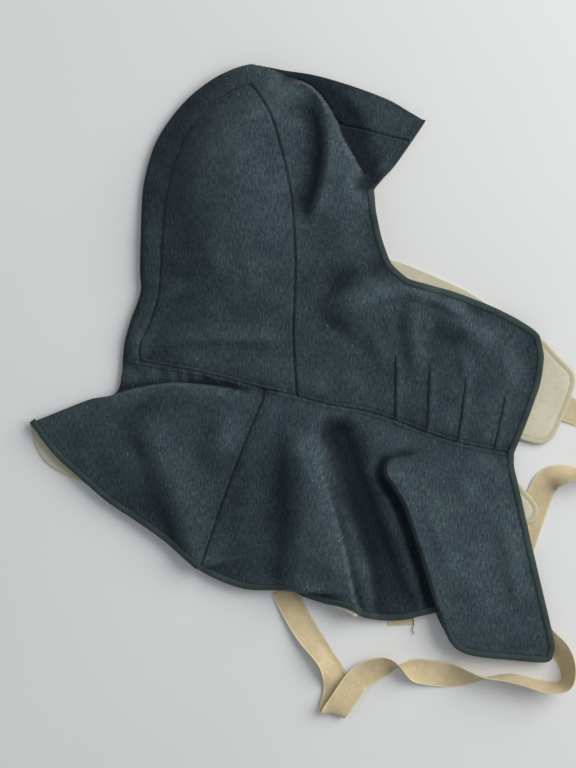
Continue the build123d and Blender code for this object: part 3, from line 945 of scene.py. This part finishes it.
def tie(name, route):
    """A flat tape along its route, turned as it goes, with soft waves. Its ends are cut straight."""
    path = route_points(f"{name}_route", route)
    reach = reach_along(path)
    controls = np.array([point[:3] for point in route]) * MM
    at = [reach[int(np.argmin(np.linalg.norm(path - c, axis=1)))] for c in controls]
    at[0], at[-1] = 0, reach[-1]
    even = np.linspace(0, reach[-1], int(reach[-1] / (TAPE_STEP * MM)))
    line = np.column_stack([np.interp(even, reach, path[:, k]) for k in range(3)])
    tilt = np.radians(np.interp(even, at, [point[3] for point in route]))
    ahead = np.gradient(controls[:, :2], axis=0)
    heading = np.unwrap(np.arctan2(ahead[:, 1], ahead[:, 0]) + math.pi / 2, period=math.pi)
    heading = np.interp(even, at, heading)
    kernel = np.hanning(13) / np.hanning(13).sum()
    tilt, heading = (np.convolve(np.pad(a, 6, mode="edge"), kernel, mode="valid") for a in (tilt, heading))
    along = np.gradient(line, axis=0)
    along /= np.linalg.norm(along, axis=1)[:, None]
    level = np.column_stack([np.cos(heading), np.sin(heading), np.zeros(len(line))])
    wide = level * np.cos(tilt)[:, None] + np.array([0, 0, 1]) * np.sin(tilt)[:, None]
    wide -= along * (wide * along).sum(axis=1)[:, None]
    wide /= np.linalg.norm(wide, axis=1)[:, None]
    normal = np.cross(along, wide)
    half = TAPE_WIDTH / 2 * MM
    verts, uvs = [], []
    for i, centre in enumerate(line):
        cup = CUP[0] * MM * math.sin(even[i] / (CUP[1] * MM)) * abs(math.sin(tilt[i]))
        cup += WAVE[0] * MM * math.sin(even[i] / (WAVE[1] * MM))
        for side in (1, -1):
            lowest = ABOVE_TABLE * MM + (0.5 * TAPE_THICKNESS * MM if side * normal[i][2] > 0 else 0)
            for k in range(LANES):
                across = (1 - 2 * k / (LANES - 1)) * side
                at_point = Vector((even[i] / (RIPPLE[1] * MM), across * 1.6, 7.3))
                out = side * TAPE_THICKNESS / 2 * MM + cup * (1 - across**2)
                out += RIPPLE[0] * MM * noise.noise(at_point)
                point = centre + wide[i] * half * across + normal[i] * out
                point[2] = max(point[2], lowest)
                verts.append(tuple(point / MM))
                uvs.append((across * half, even[i]))
    m, n = 2 * LANES, len(line)
    faces = ring_faces(n, m) + [tuple(reversed(range(m))), tuple((n - 1) * m + k for k in range(m))]
    mesh = bpy.data.meshes.new(name)
    mesh.from_pydata([tuple(c * MM for c in v) for v in verts], [], faces)
    layer = mesh.uv_layers.new(name="cloth")
    for one in mesh.loops:
        layer.data[one.index].uv = uvs[one.vertex_index]
    for polygon in mesh.polygons:
        polygon.use_smooth = len(polygon.vertices) == 4
    mesh.materials.append(TAPE)
    obj = stand(bpy.data.objects.new(name, mesh))
    sharpen_rims(obj, 60)
    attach(obj, "hood")
    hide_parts(name)


tie("upper_tie", UPPER_TIE)
tie("lower_tie", LOWER_TIE)

# ---------------------------------------------------------------- cloth pieces

hinge = np.array(HINGE_FOOT) - np.array(HINGE_TOP)
hinge /= np.linalg.norm(hinge)
forward = np.array([-hinge[1], hinge[0]])
PEAK_FOOT = 0.155  # the peak begins past this y, in m
BEND_START, BEND_END = (
    (*((np.array(HINGE_TOP) + forward * HINGE_SOFTNESS * k) * MM), 0.016) for k in (-1, 1)
)


def place(obj, body, slot, *nodes):
    """Puts a piece on its body, or across the hinge, and hides the CAD parts it stands for."""
    if body == "both":
        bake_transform(obj, "hood", "right_front", start=BEND_START, end=BEND_END)
        # The peak lies past the far end of the hinge line, so it stays with the hood: the weights
        #         made just above are set to 0 there
        for vertex, weight in zip(obj.data.vertices, obj.data.attributes["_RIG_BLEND"].data):
            if vertex.co.y > PEAK_FOOT:
                weight.value = 0.0
    else:
        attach(obj, body)
    if nodes:
        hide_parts(*nodes)
    return obj


def lining_height(p):
    """Under the outer cloth, and clear of it where that is steep."""
    by_fold = hump(nearest(p, FRONT_FOLD)[0], 11)
    lowest = LOWEST.at(p) * (1 - by_fold) + LOWEST_BY_FOLD.at(p) * by_fold - CLOTH_GAP
    near_seam = sum(hump(nearest(p, line)[0], 4) for line in (SIDE, BAND, NECK, CAPE_SEAM, *PLEATS))
    drop = 2.4 * np.clip(near_seam, 0, 1) + 1.2 * by_fold
    return np.maximum(lowest - OUTER - CLOTH_GAP - drop, left_lining_top(p) + LINING + LINING_GAP)


def left_outer_top(p):
    return np.full(len(p), ABOVE_TABLE + OUTER)


def left_lining_top(p):
    return LEFT_LINING_BASE + 0.25 * (1 + cloth_noise(p, 30, 9.2))


HOOD_LINING_LOOP = loop(
    PEAK_SEAM, BAND, BAND_FOOT, NECK, NECK_FRONT, CHIN, CHIN_CORNER, FACE, NOTCH, PEAK,
)
LEFT_HOOD_LINING_LOOP = loop(
    PEAK_SEAM, BAND, BAND_FOOT, NECK, LEFT_NECK_FRONT, LEFT_FRONT, LEFT_CHIN, LEFT_FACE,
    end=LEFT_PEAK_SEAM,
)


def outer_piece(name, body, nodes, outline, height=top, **kinds):
    piece = cloth(name, outline, height, OUTER, WOOL, **kinds)
    declare(place(piece, body, "outer_cloth", *nodes), outline)


def lining_piece(name, body, nodes, outline, height, spacing):
    piece = cloth(name, outline, height, LINING, COTTON, spacing=spacing)
    declare(place(piece, body, "lining_cloth", *nodes), outline)


outer_piece("crown_band", "hood", ["crown_panel"], BAND_LOOP, under=BAND_LOOP, rails=[BULGE])
outer_piece("right_back_side", "hood", ["right_back_side_panel"], BACK_SIDE_LOOP)
outer_piece(
    "right_front_side", "both", ["right_cheek_panel", "right_chin_panel"], FRONT_SIDE_LOOP,
    rails=[BULGE, *PLEATS],
)
outer_piece("cape_back", "hood", ["cape_back_panel"], CAPE_BACK_LOOP, under=LEFT_TAIL_LOOP, rails=[OVERLAP])
outer_piece(
    "cape_right", "both", ["cape_right_side_panel", "cape_right_front_panel"], CAPE_RIGHT_LOOP,
    rails=[FRONT_FOLD, RIDGE],
)
for name, node, outline in (
    ("left_back_side", "left_back_side_panel", BACK_SIDE_LOOP),
    ("left_front_side", "left_front_side_panel", LEFT_FRONT_SIDE_LOOP),
    ("cape_left", "cape_left_panel", LEFT_CAPE_LOOP),
):
    outer_piece(name, "hood", [node], outline, left_outer_top, spacing=7)

# Linings: the right half's hang under its outer cloth, the left half's lie on theirs
lining_piece("hood_lining_right", "both", ["right_hood_lining"], HOOD_LINING_LOOP, lining_height, 4.5)
lining_piece(
    "cape_lining_right", "both", ["right_cape_lining", "right_front_lining"], CAPE_RIGHT_LOOP,
    lining_height, 4.0,
)
lining_piece("hood_lining_left", "hood", ["left_hood_lining"], LEFT_HOOD_LINING_LOOP, left_lining_top, 6)
lining_piece("cape_lining_left", "hood", ["left_cape_lining"], LEFT_CAPE_LOOP, left_lining_top, 6)


LINING_INSET = 2.0  # from the back fold


def folded_lining(name, outline, under, node):
    """The lining inside the back fold: two leaves that end close to each other inside it."""

    def low(p):
        rise = FOLD_HEIGHT - OUTER - LINING - 1.0
        return LEFT_LINING_BASE + rise * (1 - fold_rise(distance(p, BACK) - LINING_INSET - 0.2, 5))

    def high(p):
        return np.maximum(lining_height(p) - 0.6 * (distance(p, BACK) < 4), low(p) + 1.2)

    leaves = []
    for leaf, height in ((outline, high), (under, low)):
        points, faces = plan_mesh(leaf, 5)
        clear = distance(points, BACK) > LINING_INSET
        kept = {i: k for k, i in enumerate(np.flatnonzero(clear))}
        points = points[clear]
        faces = [tuple(kept[i] for i in f) for f in faces if all(i in kept for i in f)]
        leaves.append((np.column_stack([points, height(points)]), faces))
    (a, high_faces), (b, low_faces) = leaves
    faces = high_faces + [tuple(i + len(a) for i in f) for f in low_faces]
    obj = make_object(name, np.vstack([a, b]), faces, COTTON)
    give_thickness(obj, LINING)
    plan_map(obj)
    declare(place(obj, "hood", "lining_cloth", node), outline)


folded_lining("crown_lining_sheet", BAND_LOOP, BAND_LOOP, "crown_lining")
folded_lining("cape_back_lining_sheet", CAPE_BACK_LOOP, LEFT_TAIL_LOOP, "cape_back_lining")

# Bindings wrap the open edges of both halves
RIGHT_WRAP = [
    (BINDING_WIDTH, 0.15), (BINDING_WIDTH - 0.5, 0.65), (BINDING_WIDTH / 2, 0.95), (0.8, 0.75),
    (-0.5, 0.0), (-0.8, -1.6), (-0.5, -3.6), (0.9, -4.6), (BINDING_WIDTH / 2, -4.8),
    (BINDING_WIDTH - 0.5, -4.6), (BINDING_WIDTH, -4.0),
]
PEAK_WRAP = [
    (2.2, 0.1), (1.4, 0.45), (0.4, 0.5), (-0.4, 0.0), (-0.6, -1.4), (-0.3, -2.8), (0.8, -3.3), (2.2, -3.1),
]
LEFT_WRAP = [
    (BINDING_WIDTH, 0.0), (BINDING_WIDTH / 2, 0.0), (0.4, 0.0), (-0.4, 0.5), (-0.6, 1.3), (-0.3, 2.0),
    (1.2, 2.5), (BINDING_WIDTH, 2.6),
]
right_face_path = np.vstack([FACE[:-1], PEAK])
right_front_path = np.vstack([FRONT_HEM[:-1], CAPE_FRONT[:-1], CHIN])


def table_height(p):
    return np.full(len(p), ABOVE_TABLE)


edge_kinds = {
    "outer_cloth": (WOOL, [("peak_edge_right", PEAK, PEAK_WRAP, broad_top, "both", [])]),
    "binding_tape": (BINDING, [
        ("face_binding_right", FACE, RIGHT_WRAP, broad_top, "both", ["right_face_binding"]),
        ("front_binding_right", right_front_path, RIGHT_WRAP, broad_top, "both", ["right_front_binding"]),
        ("hem_binding_right", HEM, RIGHT_WRAP, broad_top, "both", ["right_hem_binding"]),
        ("front_binding_left", LEFT_FRONT, LEFT_WRAP, table_height, "hood", ["left_front_binding"]),
    ]),
    "lining_cloth": (COTTON, [
        ("face_facing_left", LEFT_FACE, LEFT_WRAP, table_height, "hood", ["left_face_binding"]),
        ("hem_facing_left", LEFT_HEM, LEFT_WRAP, table_height, "hood", ["left_hem_binding"]),
    ]),
}
for slot, (material, edges) in edge_kinds.items():
    for name, path, section, height, body, nodes in edges:
        even_path = smooth_line(path[:: max(1, len(path) // 400)], 1.8)
        place(tube_along(name, even_path, section, material, height), body, slot, *nodes)

# ---------------------------------------------------------------- flaps on the left front edge


FLAP_BASE = 4.3  # from the table to between a flap's two layers
FLAP_OFFSETS = (0.4, 1.0, 1.8, 3.0, 4.2, 5.0, 5.8)
FLAP_STITCHING = 5.0  # from the edge


def flap(name, outline, node, lift):
    """Two layers of cotton turned and stitched round the edge: full in the middle, rolled at the
    edge, and drawn in along the stitching."""
    points, faces = plan_mesh(outline, 2.6, offsets=FLAP_OFFSETS)
    d, along, _ = nearest(points, closed(outline))
    d = np.abs(d)
    full = fold_rise(d, 1.6) * 0.95 - 0.45 * hump(d - FLAP_STITCHING, 0.9)
    full += 0.12 * cloth_noise(points, 5, 2.2)
    full += 0.1 * np.sin(along / 1.6) * hump(d - 4, 3)
    rest = FLAP_BASE + lift(points)
    high = np.column_stack([points, rest + np.where(d < 0.01, 0, np.clip(full, 0.05, None))])
    low = np.column_stack([points, rest - np.where(d < 0.01, 0, 0.75 * fold_rise(d, 1.4))])
    turned = [tuple(reversed([i + len(points) for i in f])) for f in faces]
    obj = make_object(name, np.vstack([high, low]), faces + turned, COTTON)
    from_edge = distance(plan_places(obj), closed(outline))
    mark(obj, "rim", 1 - step((from_edge - 4.6) / 1.6))
    plan_map(obj)
    declare(place(obj, "hood", "lining_cloth", node), outline)


def throat_lift(p):
    edge = step((p[:, 0] - 232) / 40)
    return 1.0 * edge * np.sin((p[:, 1] + 30) / 19) + 0.5 * cloth_noise(p, 26, 3.3) * edge


def tie_flap_lift(p):
    edge = step((p[:, 0] - 205) / 30)
    return 0.5 * edge * np.sin((p[:, 1] + 130) / 14)


flap("throat_flap_sheet", THROAT_FLAP, "throat_flap", throat_lift)
flap("tie_flap_sheet", TIE_FLAP, "tie_flap", tie_flap_lift)

# ---------------------------------------------------------------- stitching


STITCH_SIDES = 6
STITCH_RINGS = ((-1.0, 0.12), (-0.7, 0.8), (0.0, 1.0), (0.7, 0.8), (1.0, 0.12))  # place and swell


def stitches(name, lines, height, material, body, pitch=3.1, length=2.3, width=0.8):
    """Rows of thread: each stitch a small rounded bead that dips into the cloth at its ends."""
    verts, faces = [], []
    for line in lines:
        even = smooth_line(line, pitch)
        z = height(even)
        for (x, y), h, (dx, dy) in zip(even, z, np.gradient(even, axis=0)):
            run = math.hypot(dx, dy)
            dx, dy = dx / run, dy / run
            start = len(verts)
            for r, s in STITCH_RINGS:
                for k in range(STITCH_SIDES):
                    a = 2 * math.pi * k / STITCH_SIDES
                    out, up = math.cos(a) * width / 2 * s, math.sin(a) * width / 2 * s
                    verts.append((
                        x + dx * r * length / 2 - dy * out, y + dy * r * length / 2 + dx * out,
                        h + up + 0.12 - 0.25 * r * r,
                    ))
            faces += ring_faces(len(STITCH_RINGS), STITCH_SIDES, start)
            faces.append(tuple(reversed(range(start, start + STITCH_SIDES))))
            faces.append(tuple(range(len(verts) - STITCH_SIDES, len(verts))))
    obj = make_object(name, verts, faces, material)
    plan_map(obj)
    place(obj, body, "outer_cloth" if material is DARK_THREAD else "lining_cloth")


BINDING_ROW = BINDING_WIDTH + 0.5  # the binding's stitching, from the edge
for name, body, lines in (
    ("neck_topstitching", "both", [offset_line(NECK, offset)[2:-3] for offset in (4.0, -4.0)]),
    ("pleat_stitching", "both", [offset_line(pleat, 0.9)[2:] for pleat in PLEATS]),
    ("crown_topstitching", "hood", [offset_line(BAND, 2.6)[3:-2]]),
    ("side_topstitching", "hood", [offset_line(SIDE, 2.4)[2:-2]]),
    ("cape_topstitching", "hood", [offset_line(CAPE_SEAM, 2.4)[2:-2]]),
    ("face_binding_stitching", "both", [offset_line(right_face_path, BINDING_ROW)[3:-3]]),
    ("front_binding_stitching", "both", [offset_line(right_front_path, BINDING_ROW)[3:-3]]),
    ("hem_binding_stitching", "both", [offset_line(HEM, BINDING_ROW)[3:-3]]),
):
    stitches(name, lines, top, DARK_THREAD, body)

FLAP_SHOWN_FROM = 206  # the flaps are hidden by the cloth before this x
for name, outline, lift in (
    ("throat_flap_stitching", THROAT_FLAP, throat_lift), ("tie_flap_stitching", TIE_FLAP, tie_flap_lift),
):
    row = rows_inside(outline, (FLAP_STITCHING,))
    row = row[row[:, 0] > FLAP_SHOWN_FROM]
    stitches(
        name, [row], lambda p, lift=lift: FLAP_BASE + lift(p) + 0.62, CREAM_THREAD, "hood",
        pitch=2.6, length=1.8, width=0.45,
    )

# The hem's short turn back at the foot of the ridge shows a strip of lining
turn_back = smooth_line([(30, -240), (40, -243.5), (48, -247.5), (55, -252.5)], 1.2)
turn_back_section = [(-1.7, -4.0), (-1.8, -3.1), (-0.2, -2.5), (2.2, -2.9), (2.2, -4.0)]
turned_hem = tube_along("turned_hem_lining", turn_back, turn_back_section, COTTON, broad_top)
place(turned_hem, "hood", "lining_cloth")

THREAD_RADIUS, THREAD_HEIGHT = 0.35, 1.9
loose = smooth_line([(109, -255), (110, -261), (108.5, -266), (110.5, -271)], 0.8)
ring = [(THREAD_RADIUS * math.cos(a), THREAD_RADIUS * math.sin(a)) for a in np.arange(6) * math.pi / 3]
loose_thread = tube_along(
    "loose_thread", loose, ring, DARK_THREAD, lambda p: np.full(len(p), THREAD_HEIGHT),
)
place(loose_thread, "hood", "tie_tape")

# ---------------------------------------------------------------- floor, light

floor_mesh = bpy.data.meshes.new("floor")
floor_mesh.from_pydata([(-3, -3, 0), (3, -3, 0), (3, 3, 0), (-3, 3, 0)], [], [(0, 1, 2, 3)])
floor_mesh.materials.append(paper_floor())
floor = stand(bpy.data.objects.new("floor", floor_mesh))


def area_light(name, at, size, power, colour):
    """A soft rectangular light that looks at the frame's origin."""
    data = bpy.data.lights.new(name, "AREA")
    data.shape, data.size, data.size_y = "RECTANGLE", size[0], size[1]
    data.energy, data.color = power, colour
    light = stand(bpy.data.objects.new(name, data))
    light.location = at
    light.rotation_euler = (-Vector(at)).to_track_quat("-Z", "Y").to_euler()


area_light("window", (1.95, 0.95, 1.6), (2.5, 2.1), 78, (1.0, 0.985, 0.96))
world = bpy.data.worlds.new("room")
world.use_nodes = True
world.node_tree.nodes["Background"].inputs["Color"].default_value = (0.86, 0.90, 0.94, 1)
world.node_tree.nodes["Background"].inputs["Strength"].default_value = 0.42
bpy.context.scene.world = world
bpy.context.scene.view_settings.view_transform = "Standard"
